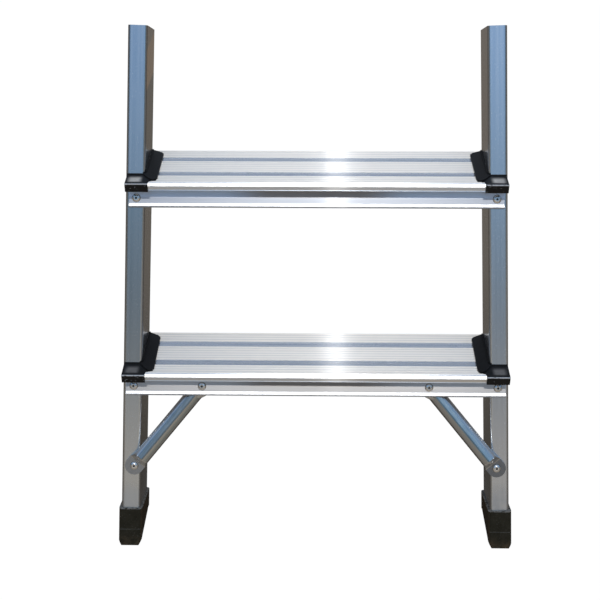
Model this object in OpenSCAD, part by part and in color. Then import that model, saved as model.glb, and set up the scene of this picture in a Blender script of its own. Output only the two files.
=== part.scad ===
// Boat boarding ladder, lower section: two wide ribbed treads riveted between splayed box rails,
// two diagonal tube braces under the bottom tread and a rubber boot on each rail.
// Millimetres. The ladder stands in its use pose: treads level, rails leaning back, soles on Z = 0.

/* [Rails] */
// Lean of the rails from the vertical, in degrees
lean = 25; // [22:0.5:27]
// Length of a rail's front face line from the floor to its square-cut top end
rail_reach = 628; // [600:1:700]
// Width of the rail section, seen from the front
rail_w = 23; // [22:0.5:25]
// Depth of the rail section, front to back
rail_d = 59; // [55:0.5:61]
// Wall thickness of the rail tube
rail_wall = 2; // [1.6:0.1:2.4]
// Corner radius of the rail tube
rail_r = 4; // [3:0.5:5]
// Outer half width of the ladder at the upper tread
half_width = 225.4; // [190:0.2:250]
// Outward splay of each rail towards the floor, in degrees
splay = 1.9; // [0:0.1:2.5]

/* [Treads] */
// Vertical rise from the floor to the first tread, and between the treads
step_rise = 206; // [200:1:230]
// Depth of a tread, front to back
tread_d = 90; // [88:0.5:96]
// How far the nose stands forward of the rails' front face
nose_reach = 21; // [18:0.5:22]
// Thickness of the deck under the ribs
deck_t = 2.2; // [2:0.1:3]
// Height of the anti-slip ribs
rib_h = 0.8; // [0.6:0.1:1.2]
// Height of the nose lip at the front edge
nose_h = 8.5; // [7.5:0.5:9.5]
// Drop of the front skirt below the nose top, along the rail
skirt_drop = 28.6; // [27:0.2:31]
// Thickness of the skirt and of the rear web
web_t = 2; // [1.8:0.1:2.4]

/* [Braces] */
// Outer diameter of the brace tube
brace_dia = 19.5; // [18:0.5:20]
// Wall thickness of the brace tube
brace_wall = 1.5; // [1.2:0.1:1.6]
// Width of a brace's flattened end
brace_end_w = 22.5; // [21:0.5:24]
// Distance of the top fixing from the ladder's centre line
brace_top_x = 137.4; // [110:1:150]
// Height of the bottom fixing, measured along the rail from the floor
brace_foot_w = 100.5; // [96:0.5:110]

/* [Feet] */
// Wall thickness of the boot
boot_wall = 2.7; // [2:0.1:3.2]
// Height of the boot's front edge, measured along the rail from the floor
boot_h = 46; // [44:1:52]
// Square-cut lower end of the rail inside the boot
rail_foot = 34; // [33:0.5:37]

/* [Rivets] */
// Diameter of a rivet head
rivet_head = 10.2; // [9:0.1:10.6]
// Diameter of a rivet shank
rivet_dia = 4.8; // [4.6:0.1:5]

/* [Hidden] */
$fn = 64;
eps = 0.01;
fit_gap = 0.3;                                   // clearance round the rails
rise_w = nose_reach * sin(lean);                 // height the nose gains over the rail face
tread_w = [(step_rise - rise_w) / cos(lean), (2 * step_rise - rise_w) / cos(lean)];
tread_half = [rail_half(tread_w[0]) - 3.2, rail_half(tread_w[1]) - 4];
depth_back = rail_d * cos(lean) + (rail_reach * cos(splay) - rail_r * sin(splay)) * sin(lean);
boot_front = 3;                                  // boot wall in front of the rail
boot_lip = 3;                                    // boot wall behind the rail
mid_y = (depth_back - boot_front / cos(lean)) / 2;
rivet_drop = 17.2;                               // skirt rivets, below the nose top along the rail
rivet_in = 13.2;                                 // rivets, in from the rail's outer face
brace_foot_in = 15.4;                            // brace fixing, in from the rail's outer face
plate_t = 2 * brace_wall;                        // flattened brace end: both walls pressed together
nose_r = 2.6;                                    // rounding of the nose's top front edge
nose_flat = 3.8;                                 // smooth strip behind the nose edge
nose_t = 2.6;                                    // thickness of the nose lip
rib_root = 0.3;                                  // rib's root inside the deck
bead_r = 2.4;                                    // rolled edge along the foot of the skirt
groove_1 = [0.253, 0.356];                       // smooth grooves, as shares of the tread depth
groove_2 = [0.678, 0.782];
cap_wall = 1.8;                                  // thickness of a corner cap's walls
cap_band_t = 0.9;                                // its band over the nose
cap_strip_t = 2.2;                               // its strip beside the rail
cap_hook = 1.1;                                  // lip under the nose
cap_strip = 16;                                  // width of the strip beside the rail
cap_lap = 6;                                     // front wall, inward of the rail's inner face
cap_rim = 1.3;                                   // raised rim round the rail
cap_rim_h = 0.9;
web_drop = 22;                                   // height of the rear web
rear_y = nose_reach + rail_d;                    // rear web, behind the nose edge

// Outer half width of the ladder at a height measured along the rails.
function rail_half(w) = half_width + tan(splay) * ((2 * step_rise - nose_reach * sin(lean)) / cos(lean) - w);
// Height along the rail at which a web standing y behind the nose runs into the deck.
function web_top(y) = (y * sin(lean) - rib_h - 0.4) / cos(lean);
// Height along the rail of the rear rivets.
function rear_w(k) = tread_w[k] + web_top(rear_y) - web_drop + 9;
// Height of a tread's top, for tread 0 (lower) and 1 (upper).
function tread_z(k) = (k + 1) * step_rise;
// Distance of a tread's nose behind the line where the rails' front plane meets the floor.
function tread_y(k) = tread_w[k] * sin(lean) - nose_reach * cos(lean);

// Frame of the rails: Y = 0 is the rails' front plane, Z runs up along the rails.
module rail_frame() {
    translate([0, -mid_y, 0])
        rotate([-lean, 0, 0])
            children();
}

// Frame of the right rail itself: X = 0 is its outer face.
module right_rail_frame() {
    rail_frame()
        translate([rail_half(0), 0, 0])
            rotate([0, -splay, 0])
                children();
}

// Frame of a tread: Y runs back from the nose, Z = 0 is the top of the ribs.
module tread_frame(k) {
    translate([0, tread_y(k) - mid_y, tread_z(k)])
        children();
}

module mirror_x() {
    mirror([1, 0, 0])
        children();
}

// One of each, left and right.
module both_sides() {
    children();
    mirror_x()
        children();
}

module rounded_rect(w, d, r) {
    translate([r, 0])
        square([w - 2 * r, d]);
    translate([0, r])
        square([w, d - 2 * r]);
    for (x = [r, w - r])
        for (y = [r, d - r])
            translate([x, y])
                circle(r);
}

// Runs a profile drawn in the Y-Z plane along X, centred, to the given half length.
module along_x(half) {
    translate([-half, 0, 0])
        rotate([90, 0, 90])
            linear_extrude(2 * half)
                children();
}

// ---- rails ----

// Cross hole of a rivet, in the rail frame, from y0 to y1.
module rivet_hole(x, w, y0, y1) {
    translate([x, y0, w])
        rotate([-90, 0, 0])
            cylinder(h = y1 - y0, d = rivet_dia + 0.1);
}

module rail() {
    difference() {
        right_rail_frame()
            difference() {
                translate([-rail_w, 0, rail_foot])
                    linear_extrude(rail_reach - rail_foot)
                        rounded_rect(rail_w, rail_d, rail_r);
                translate([rail_wall - rail_w, rail_wall, rail_foot - 1])
                    linear_extrude(rail_reach - rail_foot + 2)
                        rounded_rect(rail_w - 2 * rail_wall, rail_d - 2 * rail_wall,
                                     rail_r - rail_wall);
            }
        rail_frame() {
            for (k = [0, 1]) {
                rivet_hole(front_rivet_x(k), tread_w[k] - rivet_drop, -1, rail_wall + 1);
                rivet_hole(rear_rivet_x(k), rear_w(k),
                           rail_d - rail_wall - 1, rail_d + 1);
            }
            rivet_hole(brace_foot_x, brace_foot_w, -1, rail_wall + 1);
        }
    }
}

function front_rivet_x(k) = rail_half(tread_w[k] - rivet_drop) - rivet_in;
function rear_rivet_x(k) = rail_half(rear_w(k)) - rail_w / 2;
brace_foot_x = rail_half(brace_foot_w) - brace_foot_in;

module left_rail() {
    color([0.62, 0.64, 0.66])
        mirror_x()
            rail();
}

module right_rail() {
    color([0.62, 0.64, 0.66])
        rail();
}

// ---- treads ----

// A band of ribs from y0 to y1, with the given count.
module rib_band(y0, y1, count) {
    pitch = (y1 - y0) / count;
    for (i = [0 : count - 1])
        translate([y0 + (i + 0.5) * pitch, -rib_h])
            polygon([[-0.3 * pitch, -rib_root], [0.3 * pitch, -rib_root], [0.3 * pitch, 0.35 * rib_h],
                     [0.22 * pitch, rib_h], [-0.22 * pitch, rib_h], [-0.3 * pitch, 0.35 * rib_h]]);
}

// Outline of the deck: nose lip, deck plate and its ribs.
module deck_outline() {
    difference() {
        translate([0, -deck_t - rib_h])
            square([tread_d, deck_t]);
        square([2 * nose_r, 4 * nose_r], center = true);
    }
    intersection() {
        translate([nose_r, -nose_r])
            circle(nose_r);
        translate([0, -nose_r])
            square([nose_r, nose_r]);
    }
    translate([nose_r - eps, -deck_t - rib_h])
        square([nose_flat - nose_r, deck_t + rib_h]);
    translate([0, -nose_h])
        square([nose_t, nose_h - nose_r + eps]);
    rib_band(nose_flat + 0.4, groove_1[0] * tread_d, 4);
    rib_band(groove_1[1] * tread_d, groove_2[0] * tread_d, 6);
    rib_band(groove_2[1] * tread_d, tread_d, 4);
}

// Front skirt with its rolled foot, and rear web, both parallel to the rails.
module web_outline() {
    rotate(-lean) {
        translate([nose_reach - web_t, -skirt_drop + bead_r / 2])
            square([web_t, web_top(nose_reach - web_t) + skirt_drop - bead_r / 2]);
        difference() {
            translate([nose_reach - web_t, -skirt_drop + bead_r])
                circle(bead_r);
            translate([nose_reach, -skirt_drop - 1])
                square([2 * bead_r, 4 * bead_r]);
        }
        translate([rear_y, web_top(rear_y) - web_drop])
            square([web_t, web_drop]);
    }
}

module tread(k) {
    difference() {
        tread_frame(k)
            along_x(tread_half[k]) {
                deck_outline();
                web_outline();
            }
        // notches round the rails
        both_sides()
            right_rail_frame()
                translate([-rail_w - fit_gap, 0, 0])
                    cube([rail_w + 60, rail_d, rail_reach]);
        rail_frame()
            both_sides() {
                rivet_hole(front_rivet_x(k), tread_w[k] - rivet_drop, -web_t - 1, 1);
                rivet_hole(rear_rivet_x(k), rear_w(k), rail_d - 1, rail_d + web_t + 1);
                if (k == 0)
                    rivet_hole(brace_top_x, tread_w[k] - rivet_drop, -web_t - 1, 1);
            }
    }
}

module upper_tread() {
    color([0.82, 0.83, 0.85])
        tread(1);
}

module lower_tread() {
    color([0.82, 0.83, 0.85])
        tread(0);
}

// ---- corner caps ----

// Plan of a right-hand cap's band, in front of the rail.
module cap_band_plan(outer, inner) {
    polygon([[inner - cap_lap, -cap_wall], [outer, -cap_wall], [outer, 0.36 * tread_d],
             [inner + 2, 0.36 * tread_d], [inner - cap_lap - 4, 0.14 * tread_d],
             [inner - cap_lap - 4, 0.075 * tread_d], [inner - cap_lap - 1, 0.07 * tread_d],
             [inner - cap_lap, 0.045 * tread_d]]);
}

// Plan of its strip, along the rail's inner side.
module cap_strip_plan(inner) {
    polygon([[inner + 2, 0.24 * tread_d], [inner + 2, tread_d - 1],
             [inner - cap_strip + 3, tread_d - 10], [inner - cap_strip, tread_d - 14],
             [inner - cap_strip, 0.14 * tread_d], [inner - cap_strip + 1.5, 0.1 * tread_d],
             [inner - cap_strip + 5, 0.08 * tread_d], [inner - cap_lap, 0.12 * tread_d]]);
}

// Outline hugging the rail, in the right rail's frame, with the given clearance.
module rail_hug(gap) {
    right_rail_frame()
        translate([-rail_w - gap, -gap, 0])
            linear_extrude(rail_reach)
                rounded_rect(rail_w + 60, rail_d + 2 * gap, rail_r + gap);
}

// A right-hand corner cap on tread k.
module cap(k) {
    outer = tread_half[k] + cap_wall;
    inner = rail_half(tread_w[k]) - rail_w;
    front_w = outer - inner + cap_lap;
    wall_h = nose_h + cap_hook;
    difference() {
        union() {
            tread_frame(k) {
                linear_extrude(cap_band_t)
                    cap_band_plan(outer, inner);
                linear_extrude(cap_strip_t)
                    cap_strip_plan(inner);
                // front wall over the nose, hooked under it, and end wall
                translate([inner - cap_lap, -cap_wall, -wall_h])
                    cube([front_w, cap_wall, wall_h + eps]);
                translate([inner - cap_lap, -cap_wall, -wall_h])
                    cube([front_w, cap_wall + nose_t, cap_hook]);
                translate([tread_half[k], -cap_wall, -wall_h])
                    cube([cap_wall, nose_reach - web_t - 2, wall_h + eps]);
            }
            // raised rim round the rail, lower in front
            intersection() {
                tread_frame(k)
                    linear_extrude(cap_band_t + cap_rim_h)
                        cap_band_plan(outer, inner);
                rail_hug(fit_gap + cap_rim);
            }
            intersection() {
                tread_frame(k)
                    linear_extrude(cap_strip_t + cap_rim_h)
                        cap_strip_plan(inner);
                rail_hug(fit_gap + cap_rim);
            }
        }
        rail_hug(fit_gap);
    }
}

module upper_left_cap() {
    color([0.09, 0.09, 0.1])
        mirror_x()
            cap(1);
}

module upper_right_cap() {
    color([0.09, 0.09, 0.1])
        cap(1);
}

module lower_left_cap() {
    color([0.09, 0.09, 0.1])
        mirror_x()
            cap(0);
}

module lower_right_cap() {
    color([0.09, 0.09, 0.1])
        cap(0);
}

// ---- rivets ----

rivet_bore = 2.6;                                // hole left by the drawn stem
pin_r = rivet_bore / 2 - 0.05;
rivet_dome = 1.8;                                // height of the head
blind_h = 3;                                     // swelled end behind the sheets

// Blind rivet along +Y; y = 0 is the face its head sits on, grip is the sheets' thickness.
module rivet(grip) {
    rotate([-90, 0, 0])
        rotate_extrude()
            polygon([[rivet_bore / 2, -rivet_dome], [0.25 * rivet_head, -rivet_dome],
                     [0.38 * rivet_head, -0.75 * rivet_dome], [0.47 * rivet_head, -0.4 * rivet_dome],
                     [0.5 * rivet_head, 0], [rivet_dia / 2, 0], [rivet_dia / 2, grip],
                     [0.68 * rivet_dia, grip], [0.68 * rivet_dia, grip + 0.6 * blind_h],
                     [0.5 * rivet_dia, grip + blind_h], [rivet_bore / 2, grip + blind_h]]);
}

// Broken-off stem inside a rivet, with its head drawn against the blind end.
module rivet_pin(grip) {
    rotate([-90, 0, 0])
        rotate_extrude()
            polygon([[0, 0], [pin_r, 0], [pin_r, grip + blind_h],
                     [0.42 * rivet_dia, grip + blind_h], [0.42 * rivet_dia, grip + blind_h + 1.2],
                     [0.2 * rivet_dia, grip + blind_h + 2], [0, grip + blind_h + 2]]);
}

tread_grip = web_t + rail_wall;                  // skirt or rear web on a rail wall
brace_top_grip = web_t + plate_t;                // skirt on a flattened brace end
brace_foot_grip = plate_t + rail_wall;           // flattened brace end on a rail wall

module front_rivet_at(k) {
    rail_frame()
        both_sides()
            translate([front_rivet_x(k), -web_t, tread_w[k] - rivet_drop])
                children();
}

module rear_rivet_at(k) {
    rail_frame()
        both_sides()
            translate([rear_rivet_x(k), rail_d + web_t, rear_w(k)])
                rotate([0, 0, 180])
                    children();
}

module brace_top_at() {
    rail_frame()
        both_sides()
            translate([brace_top_x, -web_t, tread_w[0] - rivet_drop])
                children();
}

module brace_foot_at() {
    rail_frame()
        both_sides()
            translate([brace_foot_x, -plate_t, brace_foot_w])
                children();
}

module upper_front_rivets() {
    color([0.85, 0.85, 0.86])
        front_rivet_at(1)
            rivet(tread_grip);
}

module lower_front_rivets() {
    color([0.85, 0.85, 0.86])
        front_rivet_at(0)
            rivet(tread_grip);
}

module upper_rear_rivets() {
    color([0.85, 0.85, 0.86])
        rear_rivet_at(1)
            rivet(tread_grip);
}

module lower_rear_rivets() {
    color([0.85, 0.85, 0.86])
        rear_rivet_at(0)
            rivet(tread_grip);
}

module tread_rivet_pins() {
    color([0.35, 0.35, 0.37])
        for (k = [0, 1]) {
            front_rivet_at(k)
                rivet_pin(tread_grip);
            rear_rivet_at(k)
                rivet_pin(tread_grip);
        }
}

module brace_top_rivets() {
    color([0.85, 0.85, 0.86])
        brace_top_at()
            rivet(brace_top_grip);
}

module brace_foot_rivets() {
    color([0.85, 0.85, 0.86])
        brace_foot_at()
            rivet(brace_foot_grip);
}

module brace_rivet_pins() {
    color([0.35, 0.35, 0.37]) {
        brace_top_at()
            rivet_pin(brace_top_grip);
        brace_foot_at()
            rivet_pin(brace_foot_grip);
    }
}

// ---- braces ----

brace_run_x = brace_foot_x - brace_top_x;
brace_run_w = tread_w[0] - rivet_drop - brace_foot_w;
brace_len = sqrt(brace_run_x * brace_run_x + brace_run_w * brace_run_w);
brace_tilt = atan2(brace_run_x, brace_run_w);
foot_reach = 6.5;                               // flattened length beyond the foot rivet
foot_squeeze = 11;                               // length over which the tube is flattened there
top_reach = 6.5;                                 // the same at the top, behind the skirt
top_squeeze = 8.5;
foot_y = -brace_dia / 2;                         // middle of the round tube at the foot, in front of
top_y = brace_dia / 2;                           // the rails' front plane, and at the top, behind it
tube_sides = 32;
squeeze_steps = 6;
slit = 0.4;                                      // gap left between the pressed walls

// Rings along a brace, foot to top: height, sideways place of the middle, and roundness from 0
// (pressed flat) to 1 (round tube).
function ease(t) = t * t * (3 - 2 * t);
brace_rings = [
    for (i = [0 : squeeze_steps])
        let (t = i / squeeze_steps)
            [foot_reach + t * foot_squeeze, -plate_t / 2 + ease(t) * (foot_y + plate_t / 2), ease(t)],
    for (i = [0 : squeeze_steps])
        let (t = 1 - i / squeeze_steps)
            [brace_len - top_reach - t * top_squeeze, plate_t / 2 + ease(t) * (top_y - plate_t / 2), ease(t)]
];
// Point at angle a of a section that is a flat bar w by t at roundness 0 and a circle at 1.
function section_point(a, w, t, dia, round) =
    let (m = max(abs(cos(a)), abs(sin(a))))
        [(1 - round) * w / 2 * cos(a) / m + round * dia / 2 * cos(a),
         (1 - round) * t / 2 * sin(a) / m + round * dia / 2 * sin(a)];

// Flattened end: rounded plate about the rivet, its middle plane at y.
module brace_plate(y, reach) {
    translate([0, y, 0])
        rotate([90, 0, 0])
            translate([0, 0, -plate_t / 2])
                linear_extrude(plate_t) {
                    circle(d = brace_end_w);
                    translate([-brace_end_w / 2, 0])
                        square([brace_end_w, reach]);
                }
}

// Closed body through all the rings: round tube running out into a flat bar w by t at both ends.
module squeezed_tube(w, t, dia) {
    n = tube_sides;
    last = len(brace_rings) - 1;
    rings = [
        for (r = brace_rings)
            for (i = [0 : n - 1])
                let (p = section_point(360 * i / n, w, t, dia, r[2]))
                    [p[0], r[1] + p[1], r[0]]
    ];
    ends = [for (r = [brace_rings[0], brace_rings[last]]) [0, r[1], r[0]]];
    sides = [
        for (j = [0 : last - 1])
            for (i = [0 : n - 1])
                let (k = (i + 1) % n)
                    each [[j * n + i, (j + 1) * n + i, (j + 1) * n + k],
                          [j * n + i, (j + 1) * n + k, j * n + k]]
    ];
    low = [for (i = [0 : n - 1]) [len(rings), i, (i + 1) % n]];
    high = [for (i = [0 : n - 1]) [len(rings) + 1, last * n + (i + 1) % n, last * n + i]];
    polyhedron(concat(rings, ends), concat(sides, low, high));
}

// Right-hand brace: foot plate on the rail's front face, top plate behind the skirt.
module brace() {
    rail_frame()
        translate([brace_foot_x, 0, brace_foot_w])
            rotate([0, -brace_tilt, 0])
                difference() {
                    union() {
                        brace_plate(-plate_t / 2, foot_reach);
                        squeezed_tube(brace_end_w, plate_t, brace_dia);
                        translate([0, 0, brace_len])
                            mirror([0, 0, 1])
                                brace_plate(plate_t / 2, top_reach);
                    }
                    squeezed_tube(brace_end_w - 4 * brace_wall, slit, brace_dia - 2 * brace_wall);
                    for (z = [0, brace_len])
                        translate([0, -2 * plate_t, z])
                            rotate([-90, 0, 0])
                                cylinder(h = 4 * plate_t, d = rivet_dia);
                }
}

module left_brace() {
    color([0.7, 0.73, 0.76])
        mirror_x()
            brace();
}

module right_brace() {
    color([0.7, 0.73, 0.76])
        brace();
}

// ---- feet ----

boot_depth = rail_d + boot_front + boot_lip;
boot_chamfer = [3.6, 5];                         // bottom corners, across and up
line_w = 19.5;                                   // height of the moulding line, along the rail
line_cut = 0.4;                                  // and its depth
boot_rise = 7;                                   // how much higher the boot is at the back

// Right-hand boot, cut level by the floor.
module boot() {
    difference() {
        right_rail_frame()
            difference() {
                translate([-rail_w - boot_wall, -boot_front, -boot_depth])
                    linear_extrude(boot_depth + boot_h + boot_rise)
                        rounded_rect(rail_w + 2 * boot_wall, boot_depth, rail_r);
                // seat of the rail
                translate([-rail_w, 0, rail_foot])
                    linear_extrude(boot_depth + boot_h)
                        rounded_rect(rail_w, rail_d, rail_r);
                // sloping top edge
                translate([-rail_w - 10, -boot_front, boot_h])
                    rotate([atan(boot_rise / boot_depth), 0, 0])
                        translate([0, -10, 0])
                            cube([rail_w + 20, boot_depth + 30, 30]);
            }
        // level sole
        translate([0, -400, -200])
            cube([500, 800, 200]);
        boot_corner_cuts();
        sole_grooves();
        parting_line();
    }
}

module boot_corner_cuts() {
    outer = rail_half(0) + boot_wall;
    inner = rail_half(0) - rail_w - boot_wall;
    for (s = [[outer, 1], [inner, -1]])
        translate([s[0], -mid_y - 20, 0])
            rotate([90, 0, 180])
                mirror([s[1] > 0 ? 0 : 1, 0, 0])
                    linear_extrude(140)
                        polygon([[-1, -1], [boot_chamfer[0], -1], [boot_chamfer[0], 0],
                                 [0, boot_chamfer[1]], [-1, boot_chamfer[1]]]);
}

module sole_grooves() {
    for (i = [1 : 4])
        translate([rail_half(0) - rail_w / 2 - 30, -mid_y - boot_front + i * 13, -1])
            cube([60, 2.2, 2.4]);
}

// Fine moulding line across the boot's front.
module parting_line() {
    right_rail_frame()
        translate([-rail_w - boot_wall - 1, -boot_front - 1, line_w])
            cube([rail_w + 2 * boot_wall + 2, 1 + line_cut, 2 * line_cut]);
}

module left_foot() {
    color([0.13, 0.12, 0.11])
        mirror_x()
            boot();
}

module right_foot() {
    color([0.13, 0.12, 0.11])
        boot();
}

left_rail();
right_rail();
upper_tread();
lower_tread();
upper_left_cap();
upper_right_cap();
lower_left_cap();
lower_right_cap();
upper_front_rivets();
lower_front_rivets();
upper_rear_rivets();
lower_rear_rivets();
tread_rivet_pins();
left_brace();
right_brace();
brace_top_rivets();
brace_foot_rivets();
brace_rivet_pins();
left_foot();
right_foot();
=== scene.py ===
import math

import bpy
from mathutils import Matrix, Vector


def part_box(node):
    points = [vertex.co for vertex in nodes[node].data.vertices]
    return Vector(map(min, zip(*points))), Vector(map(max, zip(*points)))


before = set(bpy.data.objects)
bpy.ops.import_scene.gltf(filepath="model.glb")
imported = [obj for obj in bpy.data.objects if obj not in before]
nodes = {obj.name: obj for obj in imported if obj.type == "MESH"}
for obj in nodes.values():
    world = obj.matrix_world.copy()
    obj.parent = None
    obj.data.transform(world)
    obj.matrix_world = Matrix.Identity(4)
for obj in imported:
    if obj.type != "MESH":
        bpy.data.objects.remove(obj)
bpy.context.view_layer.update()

scene = bpy.context.scene

# ---------------------------------------------------------------- the ladder's own figures, metres
LEAN = math.radians(25.0)                 # rails from the vertical
MID_Y = 0.15768                           # floor line of the rails' front plane, in front of the origin
RAIL_TURN = math.radians(2.1)             # a rail's turn about Y that gives it its splay
LEVELS = ("upper", "lower")
TREAD_TOP = {level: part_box(level + "_tread")[1].z for level in LEVELS}
NOSE_Y = {level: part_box(level + "_tread")[0].y for level in LEVELS}


# ---------------------------------------------------------------- node helpers
class Graph:
    """A material's node tree with short calls for the nodes used here."""

    def __init__(self, name):
        self.mat = bpy.data.materials.new(name)
        self.mat.use_nodes = True
        self.nt = self.mat.node_tree
        self.nt.nodes.clear()
        self.out = self.nt.nodes.new("ShaderNodeOutputMaterial")
        self.bsdf = self.nt.nodes.new("ShaderNodeBsdfPrincipled")
        self.nt.links.new(self.bsdf.outputs[0], self.out.inputs[0])

    def link(self, a, b):
        self.nt.links.new(a, b)

    def set(self, name, value):
        socket = self.bsdf.inputs[name]
        if hasattr(value, "is_output"):
            self.link(value, socket)
        else:
            socket.default_value = value

    def coords(self):
        return self.nt.nodes.new("ShaderNodeTexCoord").outputs["Object"]

    def split(self, vector):
        n = self.nt.nodes.new("ShaderNodeSeparateXYZ")
        self.link(vector, n.inputs[0])
        return n.outputs

    def normal(self):
        return self.split(self.nt.nodes.new("ShaderNodeNewGeometry").outputs["Normal"])

    def space(self, grain, rotation=(0, 0, 0), location=(0, 0, 0)):
        """Object position in a turned frame, divided by the grain's length along each axis."""
        n = self.nt.nodes.new("ShaderNodeMapping")
        n.vector_type = "TEXTURE"
        n.inputs["Location"].default_value = location
        n.inputs["Rotation"].default_value = rotation
        n.inputs["Scale"].default_value = grain
        self.link(self.coords(), n.inputs["Vector"])
        return n.outputs[0]

    def noise(self, vector, detail=3.0, rough=0.5, scale=1.0):
        n = self.nt.nodes.new("ShaderNodeTexNoise")
        n.inputs["Scale"].default_value = scale
        n.inputs["Detail"].default_value = detail
        n.inputs["Roughness"].default_value = rough
        self.link(vector, n.inputs["Vector"])
        return n.outputs["Fac"]

    def range(self, value, a, b, lo=0.0, hi=1.0, smooth=False):
        n = self.nt.nodes.new("ShaderNodeMapRange")
        n.interpolation_type = "SMOOTHSTEP" if smooth else "LINEAR"
        for i, v in enumerate((a, b, lo, hi)):
            n.inputs[i + 1].default_value = v
        self.link(value, n.inputs[0])
        return n.outputs[0]

    def math(self, op, a, b=None):
        n = self.nt.nodes.new("ShaderNodeMath")
        n.operation = op
        for i, v in enumerate((a, b)):
            if v is None:
                continue
            if hasattr(v, "is_output"):
                self.link(v, n.inputs[i])
            else:
                n.inputs[i].default_value = v
        return n.outputs[0]

    def mix(self, fac, a, b):
        """Colour mix; a and b are colours or sockets."""
        n = self.nt.nodes.new("ShaderNodeMix")
        n.data_type = "RGBA"
        self.link(fac, n.inputs[0])
        for i, v in ((6, a), (7, b)):
            if hasattr(v, "is_output"):
                self.link(v, n.inputs[i])
            else:
                n.inputs[i].default_value = (*v, 1)
        return n.outputs[2]

    def blend(self, fac, a, b):
        """Number mix; a and b are numbers or sockets."""
        n = self.nt.nodes.new("ShaderNodeMix")
        n.data_type = "FLOAT"
        self.link(fac, n.inputs[0])
        for i, v in ((2, a), (3, b)):
            if hasattr(v, "is_output"):
                self.link(v, n.inputs[i])
            else:
                n.inputs[i].default_value = v
        return n.outputs[0]

    def facing(self, v):
        """How far the surface faces along a fixed direction, -1 to 1."""
        n = self.nt.nodes.new("ShaderNodeVectorMath")
        n.operation = "DOT_PRODUCT"
        self.link(self.nt.nodes.new("ShaderNodeNewGeometry").outputs["Normal"], n.inputs[0])
        n.inputs[1].default_value = v
        return n.outputs["Value"]

    def ramp(self, value, stops):
        """Colour by a value from -1 to 1."""
        n = self.nt.nodes.new("ShaderNodeValToRGB")
        el = n.color_ramp.elements
        while len(el) < len(stops):
            el.new(0.5)
        for e, (at, c) in zip(el, stops):
            e.position = (at + 1) / 2
            e.color = (*c, 1)
        self.link(self.range(value, -1.0, 1.0), n.inputs[0])
        return n.outputs[0]

    def band(self, value, lo, hi, soft):
        """1 between lo and hi, fading over soft on both sides."""
        return self.math("MULTIPLY", self.range(value, lo - soft, lo + soft, smooth=True),
                         self.range(value, hi + soft, hi - soft, smooth=True))

    def bump(self, height, strength, distance):
        n = self.nt.nodes.new("ShaderNodeBump")
        n.inputs["Strength"].default_value = strength
        n.inputs["Distance"].default_value = distance
        self.link(height, n.inputs["Height"])
        self.link(n.outputs[0], self.bsdf.inputs["Normal"])

    def tilt(self, *turns):
        """Turns the shading normal to a fixed direction where a mask is 1; takes (mask, direction) pairs."""
        normal = self.nt.nodes.new("ShaderNodeNewGeometry").outputs["Normal"]
        for mask, v in turns:
            n = self.nt.nodes.new("ShaderNodeMix")
            n.data_type = "VECTOR"
            self.link(mask, n.inputs[0])
            self.link(normal, n.inputs[4])
            n.inputs[5].default_value = v
            normal = n.outputs[1]
        self.link(normal, self.bsdf.inputs["Normal"])

    def tangent(self, v, socket=None):
        """A fixed direction of the grain, on the principled shader unless a socket is given."""
        n = self.nt.nodes.new("ShaderNodeCombineXYZ")
        for i in range(3):
            n.inputs[i].default_value = v[i]
        self.link(n.outputs[0], socket or self.bsdf.inputs["Tangent"])

    def streak(self, amount, color, roughness, anisotropy, v):
        """Adds a second, strongly directional mirror lobe over the principled one."""
        n = self.nt.nodes.new("ShaderNodeBsdfAnisotropic")
        n.inputs["Color"].default_value = (*color, 1)
        n.inputs["Roughness"].default_value = roughness
        n.inputs["Anisotropy"].default_value = anisotropy
        self.tangent(v, n.inputs["Tangent"])
        both = self.nt.nodes.new("ShaderNodeMixShader")
        if hasattr(amount, "is_output"):
            self.link(amount, both.inputs[0])
        else:
            both.inputs[0].default_value = amount
        self.link(self.bsdf.outputs[0], both.inputs[1])
        self.link(n.outputs[0], both.inputs[2])
        self.link(both.outputs[0], self.out.inputs[0])


def assign(names, material):
    for n in names:
        nodes[n].data.materials.clear()
        nodes[n].data.materials.append(material)


# ---------------------------------------------------------------- aluminium rails
GRIME_Z = (0.075, 0.038)                  # grime starts at the first height and is full at the second
WARM_Z = (0.500, 0.543)                   # heights of a painted warm reflection on the left rail's inner side
FOOT_FADE = 0.008                         # the painted reflection below the lower tread fades in over this height
SOFT_Z = 0.003                            # softness of the patches' ends
FLANK_FACING, FRONT_FACING = (0.80, 0.95), (0.5, 0.2)
CORNER_FACING = (0.25, 0.62, 0.12)        # from, to and softness
RAIL_ROUGH, WORN_ROUGH = (0.20, 0.27), 0.5
DIE_LINES = (0.12, 0.00012)               # strength and height of the lines drawn along a rail
RAIL_TONES = {-1: ((0.58, 0.58, 0.58), (0.68, 0.67, 0.66)),
              1: ((0.66, 0.66, 0.66), (0.77, 0.76, 0.75))}
GRIME_TONE, SCRATCH_TONE = (0.30, 0.27, 0.23), (0.80, 0.80, 0.80)
CORNER_HIGHLIGHT_TONE = (0.86, 0.87, 0.84)          # painted highlight along the rounded corners between a rail's front and its inner side
WARM_REFLECTION_TONE, DULL_REFLECTION_TONE = (0.98, 0.80, 0.64), (0.40, 0.42, 0.42)
MIDDLE_SHADE_TONE, FOOT_REFLECTION_TONE = (0.50, 0.50, 0.47), (0.78, 0.75, 0.68)


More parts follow.
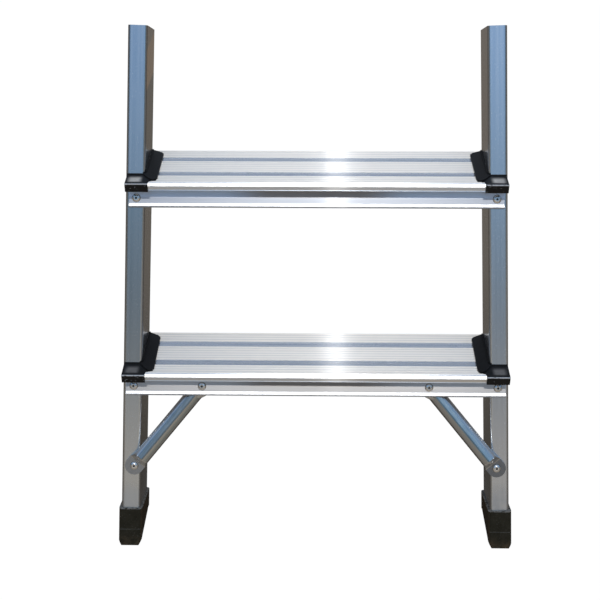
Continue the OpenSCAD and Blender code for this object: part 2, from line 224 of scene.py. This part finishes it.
def rail_material(name, side):
    """Satin drawn tube: die lines along its length, soft clouding, hairline scratches, grime at the foot, a
    painted highlight along the inner corners, and on the left rail painted reflections and painted shade in
    zones.
    """
    g = Graph(name)
    turn = (-LEAN, -side * RAIL_TURN, 0)
    lines = g.noise(g.space((0.0007, 0.0007, 0.35), turn), 4.0, 0.6)
    broad = g.noise(g.space((0.004, 0.004, 0.5), turn, (3, 1, 2)), 2.0, 0.5)
    cloud = g.noise(g.space((0.03, 0.03, 0.05), turn), 4.0, 0.6)
    scratch = g.range(g.noise(g.space((0.0005, 0.0005, 0.02), (-LEAN + 0.25, 0.2, 0)), 2.0, 0.5),
                      0.70, 0.76)
    tone = g.blend(g.range(cloud, 0.3, 0.7), g.range(lines, 0.2, 0.8), g.range(broad, 0.3, 0.7))
    col = g.mix(tone, *RAIL_TONES[side])
    z = g.split(g.coords())[2]
    grime = g.math("MULTIPLY", g.range(z, *GRIME_Z), g.range(cloud, 0.35, 0.6))
    col = g.mix(g.math("MULTIPLY", grime, 0.5), col, GRIME_TONE)
    col = g.mix(g.math("MULTIPLY", scratch, 0.5), col, SCRATCH_TONE)
    inward = g.facing((-side, 0, 0))
    if side < 0:
        # the left rail's inner side carries painted reflections: dull above the upper tread, with a warm
        # patch higher up
        flank = g.range(inward, *FLANK_FACING)
        warm = g.math("MULTIPLY", flank, g.band(z, *WARM_Z, SOFT_Z))
        col = g.mix(g.math("MULTIPLY", warm, 0.85), col, WARM_REFLECTION_TONE)
        dull = g.math("MULTIPLY", flank, g.band(z, TREAD_TOP["upper"], WARM_Z[0], SOFT_Z))
        col = g.mix(g.math("MULTIPLY", dull, 0.6), col, DULL_REFLECTION_TONE)
        # its front: painted shade on a darker stretch between the treads, and a paler, warmer painted
        # reflection below them
        front = g.range(inward, *FRONT_FACING)
        middle = g.math("MULTIPLY", front, g.band(z, TREAD_TOP["lower"], TREAD_TOP["upper"], 0.004))
        col = g.mix(g.math("MULTIPLY", middle, 0.6), col, MIDDLE_SHADE_TONE)
        foot = g.math("MULTIPLY", front, g.range(z, TREAD_TOP["lower"], TREAD_TOP["lower"] - FOOT_FADE))
        col = g.mix(g.math("MULTIPLY", foot, 0.5), col, FOOT_REFLECTION_TONE)
    # painted highlight: a paler line along the rounded corners
    corner = g.band(inward, *CORNER_FACING)
    col = g.mix(g.math("MULTIPLY", corner, 0.6), col, CORNER_HIGHLIGHT_TONE)
    g.set("Base Color", col)
    g.set("Metallic", 1.0)
    rough = g.range(tone, 0.0, 1.0, *RAIL_ROUGH)
    g.set("Roughness", g.blend(g.math("MAXIMUM", scratch, grime), rough, WORN_ROUGH))
    g.bump(g.math("ADD", lines, g.math("MULTIPLY", broad, 0.6)), *DIE_LINES)
    return g.mat


# ---------------------------------------------------------------- aluminium treads
# depths are below a tread's top face, distances are behind its nose
SOFT = 0.0002                             # softness of the edges of the zones
RIB_TOP = (0.0002, 0.00055)               # depths over which a rib's top ends
RIB_FOOT = (0.0016, 0.0012)               # depths over which a ribbed band ends
FIRST_RIB = (0.0052, 0.0055)              # distances over which the first ribbed band starts
GROOVES = ((0.0225, 0.0323), (0.0607, 0.0707))
NOSE_ROUND = (0.0036, 0.0028)             # distances over which the nose's rounding ends
BROW = (0.0042, 0.0028)                   # depths over which the painted highlight on its upper part ends
BROW_X = (-0.02, 0.20)                    # the painted highlight grows deeper between these two places
NOSE_GLOW = {"upper": 0.0, "lower": 0.0045}
FACET = (0.0034, 0.0026)                  # depths over which the facet that mirrors the sun ends
SEAM, SEAM_DEEP = (0.0031, 0.0048), (0.0012, 0.0009)
DRIP = (0.0074, 0.0084)                   # depths of the nose's lower edge
WEB_TOP = (0.0082, 0.0086)                # depths over which the front web starts
WEB_LOWER = (0.0215, 0.0235)              # depths over which its lower part starts
BEAD = (0.0293, 0.0309)                   # depths of the painted highlight on the bead along the web's lower edge
SHADE = (0.0238, 0.0220)                  # depths over which the painted shade under the nose ends
SHADE_X = (0.115, 0.050)                  # the painted shade starts and is full at these distances from the middle
TREAD_HALF = 0.2                          # painted shade on the web fades from the middle out to here
FLAT_TONES, RIB_TONES = ((0.80, 0.82, 0.84), (0.88, 0.885, 0.89)), ((0.98, 0.90, 0.79), (1.0, 0.94, 0.85))
# colour of the web's upper part in the nose's shadow: painted shade, with a bluish painted sky reflection on
# the upper tread
SHADE_BAND_TONE = {"upper": (0.80, 0.88, 1.0), "lower": (0.76, 0.75, 0.74)}
WEB_TONES = {"upper": ((0.66, 0.67, 0.70), (0.74, 0.75, 0.79)),
             "lower": ((0.70, 0.66, 0.62), (0.78, 0.74, 0.70))}
WEB_MIDDLE_SHADE = {"upper": (0.08, 0.0), "lower": (0.20, -0.03)}
GAP_SHADE_TONE, EDGE_SHADE_TONE, SEAM_SHADE_TONE = (0.50, 0.48, 0.45), (0.42, 0.41, 0.40), (0.40, 0.40, 0.40)
ROUND_HIGHLIGHT_TONE, SCUFF_TONE, SHADE_UNDER_NOSE_TONE = (0.98, 0.93, 0.86), (0.60, 0.60, 0.60), (0.42, 0.35, 0.29)
FLAT_ROUGH, RIB_ROUGH = (0.24, 0.30), (0.52, 0.55)
WEB_ROUGH_DEEP = (0.024, 0.031)           # depths over which the web's roughness changes
WEB_ROUGH = {"upper": (0.45, 0.50), "lower": (0.50, 0.54)}
ROUND_ROUGH = {"upper": 0.42, "lower": 0.44}
FLAT_ANISO, RIB_ANISO = 0.9, 0.8
STREAK = 0.05                             # share of the second mirror lobe on the deck
WEB_STREAK = {"upper": 0.04, "lower": 0.006}
SUN_FACET = (0, -0.73, 0.68)              # the slope that mirrors the sun into the camera
RIB_FACET = {"upper": (0, -0.45, 0.893), "lower": (0, -0.38, 0.925)}
GRAIN_DIRECTION = (0, 0.72, 0.69)
TREAD_LOBE = {"color": (0.9, 0.9, 0.9), "roughness": 0.237, "anisotropy": -0.90}


def tread_material(level):
    """Bright extrusion: pale ribbed bands, smooth grooves that mirror the sky, a fine lengthwise grain;
    painted highlights on the nose and the bead, painted shade in the rib gaps, the seam, under the nose,
    towards the web's middle and along its lower edge.
    """
    g = Graph("tread_" + level)
    x, y, z = g.split(g.coords())
    deep = g.math("SUBTRACT", TREAD_TOP[level], z)
    behind = g.math("SUBTRACT", y, NOSE_Y[level])
    off_centre = g.math("ABSOLUTE", x)
    grain = g.noise(g.space((0.30, 0.0006, 0.0006)), 3.0, 0.5)
    broad = g.noise(g.space((0.9, 0.004, 0.004), (0, 0, 0), (1, 2, 3)), 2.0, 0.5)
    smudge = g.noise(g.space((0.05, 0.03, 0.03)), 4.0, 0.6)
    scuff = g.range(g.noise(g.space((0.03, 0.0008, 0.0008), (0, 0, 0.35)), 2.0, 0.5), 0.70, 0.78)
    tone = g.blend(g.range(smudge, 0.3, 0.7), g.range(grain, 0.25, 0.75), g.range(broad, 0.3, 0.7))
    # the ribbed bands of the deck, without its two smooth grooves and the flat behind the nose
    rib = g.math("MULTIPLY", g.range(deep, *RIB_FOOT), g.range(behind, *FIRST_RIB))
    for lo, hi in GROOVES:
        rib = g.math("MULTIPLY", rib, g.math("SUBTRACT", 1.0, g.band(behind, lo, hi, SOFT)))
    # painted shade in the gaps below the ribs' tops
    gap_shade = g.math("MULTIPLY", rib, g.range(deep, *RIB_TOP, smooth=True))
    # the nose's rounding, which carries a painted highlight, the seam behind it, painted as shade, the front
    # web below it and the bead along its lower edge, a real bead with a painted highlight
    on_nose = g.range(behind, *NOSE_ROUND)
    brow = g.math("SUBTRACT", deep, g.range(x, *BROW_X, 0.0, NOSE_GLOW[level]))
    brow = g.math("MULTIPLY", on_nose, g.range(brow, *BROW, smooth=True))
    seam = g.math("MULTIPLY", g.band(behind, *SEAM, SOFT), g.range(deep, *SEAM_DEEP))
    bead = g.band(deep, *BEAD, SOFT)
    lower_edge_shade = g.range(deep, BEAD[1] + 2 * SOFT, BEAD[1] + 3.5 * SOFT)
    web = g.math("MULTIPLY", g.range(deep, *WEB_TOP), g.math("SUBTRACT", 1.0, bead))
    drip = g.math("MULTIPLY", on_nose, g.band(deep, *DRIP, SOFT))
    rounded = g.math("MAXIMUM", brow, bead)
    col = g.mix(rib, g.mix(tone, *FLAT_TONES), g.mix(tone, *RIB_TONES))
    col = g.mix(g.math("MULTIPLY", gap_shade, 0.32), col, GAP_SHADE_TONE)
    # the web's upper part takes the painted shadow-band colour
    skirt = g.mix(g.range(deep, *WEB_LOWER), SHADE_BAND_TONE[level], g.mix(tone, *WEB_TONES[level]))
    # painted shade: the web is darker towards the middle
    skirt = g.mix(g.range(off_centre, 0.0, TREAD_HALF, *WEB_MIDDLE_SHADE[level]), skirt, (0, 0, 0))
    col = g.mix(web, col, skirt)
    # painted shade: a dark line along the web's lower edge, under the bead
    col = g.mix(g.math("MULTIPLY", lower_edge_shade, web), col, EDGE_SHADE_TONE)
    # painted shade in the seam's groove behind the nose
    col = g.mix(g.math("MULTIPLY", seam, 0.75), col, SEAM_SHADE_TONE)
    # painted highlight on the nose's rounding and the bead
    col = g.mix(rounded, col, ROUND_HIGHLIGHT_TONE)
    col = g.mix(g.math("MULTIPLY", g.math("MULTIPLY", scuff, rib), 0.30), col, SCUFF_TONE)
    # painted shade on the web just under the nose, strongest towards the middle
    shade_under_nose = g.math("MULTIPLY", web, g.range(deep, *SHADE, smooth=True))
    shade_under_nose = g.math("MULTIPLY", shade_under_nose, g.range(off_centre, *SHADE_X, smooth=True))
    col = g.mix(g.math("MULTIPLY", shade_under_nose, 0.9), col, SHADE_UNDER_NOSE_TONE)
    g.set("Base Color", col)
    g.set("Metallic", 1.0)
    rough = g.blend(rib, g.range(tone, 0.0, 1.0, *FLAT_ROUGH), g.range(tone, 0.0, 1.0, *RIB_ROUGH))
    rough = g.blend(web, rough, g.range(deep, *WEB_ROUGH_DEEP, *WEB_ROUGH[level]))
    g.set("Roughness", g.blend(rounded, rough, ROUND_ROUGH[level]))
    g.set("Anisotropic", g.blend(rounded, g.blend(rib, FLAT_ANISO, RIB_ANISO), 0.0))
    # the bands are shaded in one direction, and small rounds like the facet that catches the sun
    facet = g.math("MAXIMUM", bead, g.math("MULTIPLY", on_nose, g.range(deep, *FACET)))
    facet = g.math("MAXIMUM", facet, g.math("MULTIPLY", drip, 0.6))
    g.tilt((rib, RIB_FACET[level]), (facet, SUN_FACET))
    g.tangent(GRAIN_DIRECTION)
    g.streak(g.blend(web, STREAK, WEB_STREAK[level]), v=GRAIN_DIRECTION, **TREAD_LOBE)
    return g.mat


# ---------------------------------------------------------------- aluminium braces
BRACE_TURN = math.radians(40.0)           # a brace's slope away from the rails
PALE, DULL_EDGE = (0.97, 0.97, 0.96), (0.60, 0.59, 0.56)
SKY_BLUE, SHADOW = (0.18, 0.27, 0.26), (0.17, 0.18, 0.15)
PALE_BLUE, BROWN, NEAR_BLACK = (0.71, 0.79, 0.76), (0.34, 0.23, 0.14), (0.09, 0.10, 0.07)
# colour round a tube from its lower edge (-1) to its upper edge (1), standing in for what it mirrors
BRACE_RAMP = {
    1: [(-0.87, DULL_EDGE), (-0.7, PALE), (-0.55, PALE), (-0.23, SHADOW), (-0.05, SKY_BLUE),
        (0.25, SKY_BLUE), (0.56, PALE)],
    -1: [(-0.9, DULL_EDGE), (-0.75, PALE), (-0.6, PALE_BLUE), (-0.45, PALE_BLUE), (-0.2, BROWN),
         (0.05, NEAR_BLACK), (0.38, NEAR_BLACK), (0.6, PALE)]}
# tones of the flattened ends; the right ones are darker as painted shade
PLATE_TONES = {1: ((0.22, 0.213, 0.205), (0.28, 0.27, 0.26)),
               -1: ((0.37, 0.355, 0.335), (0.475, 0.455, 0.43))}
NECK_TONES = ((0.70, 0.68, 0.65), (0.86, 0.84, 0.80))
DARK_STREAK, PALE_STREAK = (0.10, 0.10, 0.09), (0.95, 0.96, 0.95)
PLATE_FACING, NECK_FACING = (0.985, 0.995), (0.12, 0.35)
UPPER_SIDE = (0.60, 0.68)                 # the rougher upper side starts between these
LINE_BAND = (0.55, 0.62, 0.02)            # from, to and softness of the line below it
TUBE_ROUGH, UPPER_ROUGH, LINE_ROUGH, END_ROUGH = (0.10, 0.20), 0.42, 0.50, 0.34
BRACE_LOBE = {"amount": 0.05, "color": (0.9, 0.92, 0.92), "roughness": 0.30, "anisotropy": -0.80}


def brace_material(name, side):
    """Polished tube, streaked along its length, with painted reflections banded round it, and matt flattened
    ends, the right ones darkened by painted shade.
    """
    g = Graph(name)
    lean = Matrix.Rotation(-LEAN, 3, "X")
    along = lean @ Vector((-side * math.sin(BRACE_TURN), 0, math.cos(BRACE_TURN)))
    across = lean @ Vector((side * math.cos(BRACE_TURN), 0, math.sin(BRACE_TURN)))
    front = lean @ Vector((0, -1, 0))
    turn = (-LEAN, side * -BRACE_TURN, 0)
    lines = g.noise(g.space((0.0011, 0.0011, 0.09), turn), 4.0, 0.6)
    stripe = g.noise(g.space((0.0022, 0.0022, 0.05), turn, (1, 2, 3)), 3.0, 0.6)
    smear = g.noise(g.space((0.006, 0.006, 0.02), turn), 4.0, 0.65)
    tone = g.blend(g.range(smear, 0.35, 0.65), g.range(lines, 0.25, 0.75), g.range(stripe, 0.3, 0.7))
    up = g.facing(across)
    plate = g.range(g.facing(front), *PLATE_FACING)
    neck = g.range(g.math("ABSOLUTE", g.facing(along)), *NECK_FACING)
    col = g.ramp(up, BRACE_RAMP[side])
    col = g.mix(g.range(tone, 0.0, 0.5, 0.20, 0.0), col, DARK_STREAK)
    col = g.mix(g.range(tone, 0.5, 1.0, 0.0, 0.06), col, PALE_STREAK)
    col = g.mix(neck, col, g.mix(tone, *NECK_TONES))
    col = g.mix(plate, col, g.mix(tone, *PLATE_TONES[side]))
    g.set("Base Color", col)
    g.set("Metallic", 1.0)
    # a rougher upper side, with a patchy line along it that leans towards the sun
    line = g.math("MULTIPLY", g.band(up, *LINE_BAND), g.range(stripe, 0.25, 0.40))
    rough = g.range(tone, 0.0, 1.0, *TUBE_ROUGH)
    rough = g.blend(g.range(up, *UPPER_SIDE), rough, UPPER_ROUGH)
    rough = g.blend(line, rough, LINE_ROUGH)
    g.set("Roughness", g.blend(g.math("MAXIMUM", plate, neck), rough, END_ROUGH))
    g.tilt((g.math("MULTIPLY", line, 0.9), SUN_FACET))
    g.streak(v=along, **BRACE_LOBE)
    return g.mat


# ---------------------------------------------------------------- rivets
HEAD_RIM_SHADE = (0.06, 0.06, 0.065)         # painted shade on the steep rim of a rivet's head


def rivet_material(name, lo, hi, rough):
    """Fine-grained metal between two tones, with painted shade where a head falls away from the front."""
    g = Graph(name)
    grain = g.noise(g.space((0.0012, 0.0012, 0.0012)), 4.0, 0.6)
    level = g.math("ABSOLUTE", g.facing(Matrix.Rotation(-LEAN, 3, "X") @ Vector((0, -1, 0))))
    col = g.mix(g.range(grain, 0.3, 0.7), lo, hi)
    g.set("Base Color", g.mix(g.range(level, 0.72, 0.52), col, HEAD_RIM_SHADE))
    g.set("Metallic", 1.0)
    g.set("Roughness", g.range(grain, 0.3, 0.7, rough, rough + 0.15))
    g.bump(grain, 0.15, 0.0001)
    return g.mat


# ---------------------------------------------------------------- plastic caps
WARM_GLOSS = (1.0, 0.86, 0.72, 1.0)       # black plastic and rubber tone down the sky they mirror
CAP_RISE = 0.0009                         # the front wall's upper edge, with its painted highlight, lies this far above the tread
CAP_TONES = ((0.006, 0.006, 0.006), (0.013, 0.013, 0.013))
HIGHLIGHT_PATCH_X = {"upper": 0.2125, "lower": 0.2200}
HIGHLIGHT_PATCH_HALF = (0.010, 0.004)              # half widths over which the painted highlight patch ends
HIGHLIGHT_PATCH_FRONT, HIGHLIGHT_PATCH_BACK = (0.002, 0.006), (0.019, 0.011)
HIGHLIGHT_PATCH_TONE = {"upper": (0.82, 0.72, 0.60), "lower": (0.23, 0.205, 0.18)}
EDGE_HIGHLIGHT_DEEP = (0.0012, 0.0008)              # depths over which the painted highlight on the front wall's upper edge ends
HIGHLIGHT_AND_CHIP_TONE = (0.70, 0.69, 0.67)


def cap_material(level):
    """Black moulded plastic: fine spark texture, a painted highlight on the flat in front of the rail and
    along the front wall's upper edge, with a few pale chips.
    """
    g = Graph("cap_" + level)
    x, y, z = g.split(g.coords())
    behind = g.math("SUBTRACT", y, NOSE_Y[level])
    deep = g.math("SUBTRACT", TREAD_TOP[level] + CAP_RISE, z)
    cloud = g.noise(g.space((0.012, 0.012, 0.012)), 4.0, 0.6)
    spark = g.noise(g.space((0.0006, 0.0006, 0.0006)), 3.0, 0.6)
    nick = g.noise(g.space((0.0030, 0.0016, 0.0016)), 2.0, 0.5)
    col = g.mix(g.range(cloud, 0.3, 0.7), *CAP_TONES)
    up = g.range(g.normal()[2], 0.7, 0.95)
    # painted highlight on the flat in front of the rail, much brighter on the upper caps
    fore = g.math("MULTIPLY", g.range(behind, *HIGHLIGHT_PATCH_FRONT, smooth=True),
                  g.range(behind, *HIGHLIGHT_PATCH_BACK, smooth=True))
    away = g.math("ABSOLUTE", g.math("SUBTRACT", g.math("ABSOLUTE", x), HIGHLIGHT_PATCH_X[level]))
    highlight_patch = g.math("MULTIPLY", g.math("MULTIPLY", up, fore), g.range(away, *HIGHLIGHT_PATCH_HALF, smooth=True))
    highlight_patch = g.math("MULTIPLY", highlight_patch, g.range(cloud, 0.2, 0.7, 0.6, 1.0))
    col = g.mix(highlight_patch, col, HIGHLIGHT_PATCH_TONE[level])
    # a painted highlight draws the upper edge of the front wall as a thin, broken pale line, with a few pale
    # chips below it
    edge = g.math("MULTIPLY", g.range(deep, *EDGE_HIGHLIGHT_DEEP), g.range(behind, -0.0005, -0.0009))
    edge = g.math("MULTIPLY", edge, g.range(nick, 0.34, 0.44))
    chip = g.math("MULTIPLY", g.range(nick, 0.66, 0.70), g.range(behind, -0.0012, -0.0018))
    edge = g.math("MAXIMUM", edge, g.math("MULTIPLY", chip, 0.5))
    col = g.mix(edge, col, HIGHLIGHT_AND_CHIP_TONE)
    g.set("Base Color", col)
    g.set("Roughness", g.blend(highlight_patch, g.range(cloud, 0.3, 0.7, 0.34, 0.46), 0.35))
    g.set("Specular IOR Level", 0.22)
    g.set("Specular Tint", WARM_GLOSS)
    g.bump(spark, 0.25, 0.00012)
    return g.mat


# ---------------------------------------------------------------- rubber boots
RIM_FRONT, RIM_SLOPE = 0.0463, 0.108      # the boot's top edge, rising towards the back
RIM_DEEP = (0.0013, 0.0008)               # its pale rim, partly wear and partly painted highlight, ends over these depths
MOULD_LINE = 0.0193                       # its moulding line, along the rail from the floor
MOULD_HALF = (0.0006, 0.0003)             # half widths over which that line ends
DUST_Z = (0.014, 0.002)                   # dust on the foot starts at the first height, full at the second
BOOT_TONES = ((0.021, 0.018, 0.011), (0.036, 0.031, 0.020))
DUST_TONE, SCUFF_AND_HIGHLIGHT_TONE = (0.074, 0.050, 0.028), (0.24, 0.22, 0.19)


def boot_material(name):
    """Black rubber: matt, brown with dust on its sides, pale scuffs and moulding line, and a pale rim that
    is partly wear and partly a painted highlight.
    """
    g = Graph(name)
    x, y, z = g.split(g.coords())
    ahead = g.math("ADD", y, MID_Y)
    # distance up the rail from the floor, and distance back from the rails' front plane
    along = g.math("ADD", g.math("MULTIPLY", ahead, math.sin(LEAN)),
                   g.math("MULTIPLY", z, math.cos(LEAN)))
    back = g.math("SUBTRACT", g.math("MULTIPLY", ahead, math.cos(LEAN)),
                  g.math("MULTIPLY", z, math.sin(LEAN)))
    below_rim = g.math("SUBTRACT", g.math("ADD", g.math("MULTIPLY", back, RIM_SLOPE), RIM_FRONT), along)
    cloud = g.noise(g.space((0.010, 0.010, 0.010)), 5.0, 0.65)
    fine = g.noise(g.space((0.0008, 0.0008, 0.0008)), 3.0, 0.6)
    nick = g.noise(g.space((0.0030, 0.0030, 0.0015)), 2.0, 0.5)
    scuff = g.range(g.noise(g.space((0.006, 0.0012, 0.0012), (0.3, 0.4, 0.5)), 3.0, 0.6), 0.62, 0.70)
    side = g.range(g.math("ABSOLUTE", g.normal()[0]), 0.5, 0.9)
    dust = g.math("MAXIMUM", g.math("MULTIPLY", side, g.range(cloud, 0.2, 0.6, 0.5, 1.0)),
                  g.math("MULTIPLY", g.range(z, *DUST_Z), g.range(cloud, 0.4, 0.65)))
    # pale rim along the top edge: partly wear, partly painted highlight
    rim = g.math("MULTIPLY", g.range(below_rim, *RIM_DEEP), g.range(nick, 0.36, 0.48))
    line = g.math("ABSOLUTE", g.math("SUBTRACT", along, MOULD_LINE))
    line = g.math("MULTIPLY", g.range(line, *MOULD_HALF), g.range(g.normal()[1], -0.6, -0.8))
    pale = g.math("MAXIMUM", g.math("MAXIMUM", g.math("MULTIPLY", scuff, 0.28), rim),
                  g.math("MULTIPLY", line, 0.3))
    col = g.mix(g.range(cloud, 0.3, 0.7), *BOOT_TONES)
    col = g.mix(dust, col, DUST_TONE)
    col = g.mix(pale, col, SCUFF_AND_HIGHLIGHT_TONE)
    g.set("Base Color", col)
    g.set("Roughness", g.blend(pale, g.range(cloud, 0.3, 0.7, 0.50, 0.68), 0.8))
    g.set("Specular IOR Level", 0.09)
    g.set("Specular Tint", WARM_GLOSS)
    g.bump(g.math("ADD", fine, g.math("MULTIPLY", cloud, 2.0)), 0.35, 0.0002)
    return g.mat


# ---------------------------------------------------------------- carried-over parts
RIVETS = ["upper_front_rivets", "lower_front_rivets", "upper_rear_rivets", "lower_rear_rivets",
          "brace_top_rivets", "brace_foot_rivets"]
assign(["right_rail"], rail_material("rail_right", 1))
assign(["left_rail"], rail_material("rail_left", -1))
for level in LEVELS:
    assign([level + "_tread"], tread_material(level))
    assign([level + "_left_cap", level + "_right_cap"], cap_material(level))
assign(["right_brace"], brace_material("brace_right", 1))
assign(["left_brace"], brace_material("brace_left", -1))
assign(RIVETS, rivet_material("rivet_bright", (0.76, 0.72, 0.66), (0.96, 0.91, 0.85), 0.16))
assign(["tread_rivet_pins", "brace_rivet_pins"],
       rivet_material("rivet_stem", (0.03, 0.03, 0.033), (0.09, 0.09, 0.09), 0.35))
assign(["left_foot", "right_foot"], boot_material("boot_rubber"))

BEVEL_ANGLE = math.radians(38)
BEVELS = {"left_cap": 0.00055, "right_cap": 0.00055, "foot": 0.0009, "rail": 0.00025}
for name, ob in nodes.items():
    for ending, width in BEVELS.items():
        if name.endswith(ending):
            bevel = ob.modifiers.new("soft_edges", "BEVEL")
            bevel.width = width
            bevel.segments = 3
            bevel.limit_method = "ANGLE"
            bevel.angle_limit = BEVEL_ANGLE
            bevel.harden_normals = False

# ---------------------------------------------------------------- floor
FLOOR_HALF = 6.0
floor_mesh = bpy.data.meshes.new("floor")
floor_mesh.from_pydata([(-FLOOR_HALF, -FLOOR_HALF, 0), (FLOOR_HALF, -FLOOR_HALF, 0),
                        (FLOOR_HALF, FLOOR_HALF, 0), (-FLOOR_HALF, FLOOR_HALF, 0)], [], [(0, 1, 2, 3)])
floor = bpy.data.objects.new("floor", floor_mesh)
scene.collection.objects.link(floor)
floor_graph = Graph("floor_pale")
floor_graph.set("Base Color", (0.04, 0.04, 0.04, 1))
floor_graph.set("Roughness", 0.9)
floor_graph.set("Specular IOR Level", 0.0)
floor_graph.set("Emission Color", (1, 1, 1, 1))
floor_graph.set("Emission Strength", 1.0)
floor_mesh.materials.append(floor_graph.mat)
floor.visible_glossy = False
floor.visible_diffuse = False
floor.visible_shadow = False


# ---------------------------------------------------------------- surroundings, seen only as reflections
def ramp_place(elevation):
    """Ramp position of an elevation in degrees."""
    return (math.sin(math.radians(elevation)) + 1) / 2


FRONT = [(-90, (0.26, 0.24, 0.215)), (-40, (0.29, 0.27, 0.245)), (-10, (0.37, 0.35, 0.325)),
         (5, (0.50, 0.48, 0.45)), (9, (0.48, 0.445, 0.405)), (12.8, (0.170, 0.205, 0.245)),
         (15, (0.088, 0.134, 0.176)), (19.3, (0.110, 0.177, 0.248)), (22, (0.265, 0.425, 0.605)),
         (30, (0.235, 0.435, 0.78)), (48, (0.27, 0.44, 0.70)), (66, (0.22, 0.31, 0.46)),
         (90, (0.26, 0.36, 0.55))]
BACK = [(-90, (0.06, 0.058, 0.052)), (-42, (0.05, 0.047, 0.041)), (-32, (0.148, 0.133, 0.116)),
        (-20, (0.182, 0.162, 0.142)), (-5, (0.24, 0.225, 0.21)), (10, (0.28, 0.30, 0.33)),
        (24, (0.31, 0.35, 0.43)), (38, (0.30, 0.365, 0.475)), (60, (0.30, 0.40, 0.58)),
        (90, (0.26, 0.36, 0.55))]
SUN_ELEVATION, SUN_X = 53.0, 0.016
SUN_POWER = 0.83
SUN_SIZE = math.radians(0.6)
TURN_Y = 0.25                             # the front and back gradients meet within this of the middle
SIDE_SHADE = (0.35, 0.8, 1.0, 0.45)       # darker to both sides: from, to, and the factors there
RIGHT_LIFT = (-0.3, 0.3, 0.98, 1.02)      # a little brighter towards the right, in the same order
sun_dir = Vector((SUN_X, -math.cos(math.radians(SUN_ELEVATION)), math.sin(math.radians(SUN_ELEVATION))))
sun_dir.normalize()

world = bpy.data.worlds.new("surroundings")
scene.world = world
world.use_nodes = True
tree = world.node_tree
tree.nodes.clear()


def wnode(kind, **attrs):
    n = tree.nodes.new(kind)
    for k, v in attrs.items():
        setattr(n, k, v)
    return n


def wrange(value, a, b, lo, hi, smooth=False):
    n = wnode("ShaderNodeMapRange", interpolation_type="SMOOTHSTEP" if smooth else "LINEAR")
    for i, v in enumerate((a, b, lo, hi)):
        n.inputs[i + 1].default_value = v
    tree.links.new(value, n.inputs[0])
    return n.outputs[0]


def wramp(fac, stops):
    n = wnode("ShaderNodeValToRGB")
    el = n.color_ramp.elements
    while len(el) < len(stops):
        el.new(0.5)
    for e, (deg, c) in zip(el, stops):
        e.position = ramp_place(deg)
        e.color = (*c, 1)
    tree.links.new(fac, n.inputs[0])
    return n.outputs[0]


def wscale(vector, factor):
    n = wnode("ShaderNodeVectorMath", operation="SCALE")
    tree.links.new(vector, n.inputs[0])
    tree.links.new(factor, n.inputs["Scale"])
    return n.outputs[0]


direction = wnode("ShaderNodeTexCoord").outputs["Generated"]
sep = wnode("ShaderNodeSeparateXYZ")
tree.links.new(direction, sep.inputs[0])
height = wrange(sep.outputs["Z"], -1.0, 1.0, 0.0, 1.0)
around = wnode("ShaderNodeMix", data_type="RGBA")
tree.links.new(wrange(sep.outputs["Y"], -TURN_Y, TURN_Y, 0.0, 1.0), around.inputs[0])
tree.links.new(wramp(height, FRONT), around.inputs[6])
tree.links.new(wramp(height, BACK), around.inputs[7])
aside = wnode("ShaderNodeMath", operation="ABSOLUTE")
tree.links.new(sep.outputs["X"], aside.inputs[0])
shade = wnode("ShaderNodeMath", operation="MULTIPLY")
tree.links.new(wrange(aside.outputs[0], *SIDE_SHADE, smooth=True), shade.inputs[0])
tree.links.new(wrange(sep.outputs["X"], *RIGHT_LIFT), shade.inputs[1])
lit = wnode("ShaderNodeBackground")
tree.links.new(wscale(around.outputs[2], shade.outputs[0]), lit.inputs[0])
# the camera itself sees a plain white studio
plain = wnode("ShaderNodeBackground")
plain.inputs[0].default_value = (1, 1, 1, 1)
ray = wnode("ShaderNodeLightPath")
seen = wnode("ShaderNodeMixShader")
tree.links.new(ray.outputs["Is Camera Ray"], seen.inputs[0])
tree.links.new(lit.outputs[0], seen.inputs[1])
tree.links.new(plain.outputs[0], seen.inputs[2])
tree.links.new(seen.outputs[0], wnode("ShaderNodeOutputWorld").inputs[0])

sun = bpy.data.lights.new("sun", "SUN")
sun.energy = SUN_POWER
sun.angle = SUN_SIZE
sun_ob = bpy.data.objects.new("sun", sun)
scene.collection.objects.link(sun_ob)
sun_ob.rotation_mode = "QUATERNION"
sun_ob.rotation_quaternion = sun_dir.to_track_quat("Z", "Y")

# ---------------------------------------------------------------- camera, placed in the rails' own frame
FOCAL_PX, PITCH, YAW, ROLL = 1111.1, math.radians(8.441), math.radians(0.942), math.radians(-0.168)
EYE = Vector((0.002755, -1.31575, 0.5015))
SENSOR, IMAGE_PX = 36.0, 600.0
level_right = Vector((math.cos(YAW), math.sin(YAW), 0))
level_ahead = Vector((-math.sin(YAW), math.cos(YAW), 0))
ahead = math.cos(PITCH) * level_ahead - math.sin(PITCH) * Vector((0, 0, 1))
above = math.sin(PITCH) * level_ahead + math.cos(PITCH) * Vector((0, 0, 1))
right = math.cos(ROLL) * level_right - math.sin(ROLL) * above
above = math.sin(ROLL) * level_right + math.cos(ROLL) * above
to_world = Matrix.Rotation(-LEAN, 3, "X")
turn = Matrix([to_world @ right, to_world @ above, to_world @ -ahead]).transposed()
cam = bpy.data.cameras.new("camera")
cam.sensor_width = SENSOR
cam.lens = FOCAL_PX * SENSOR / IMAGE_PX
cam.clip_start, cam.clip_end = 0.05, 50.0
cam_ob = bpy.data.objects.new("camera", cam)
scene.collection.objects.link(cam_ob)
cam_ob.matrix_world = (Matrix.Translation(to_world @ EYE - Vector((0, MID_Y, 0))) @ turn.to_4x4())
scene.camera = cam_ob
scene.view_settings.view_transform = "Standard"
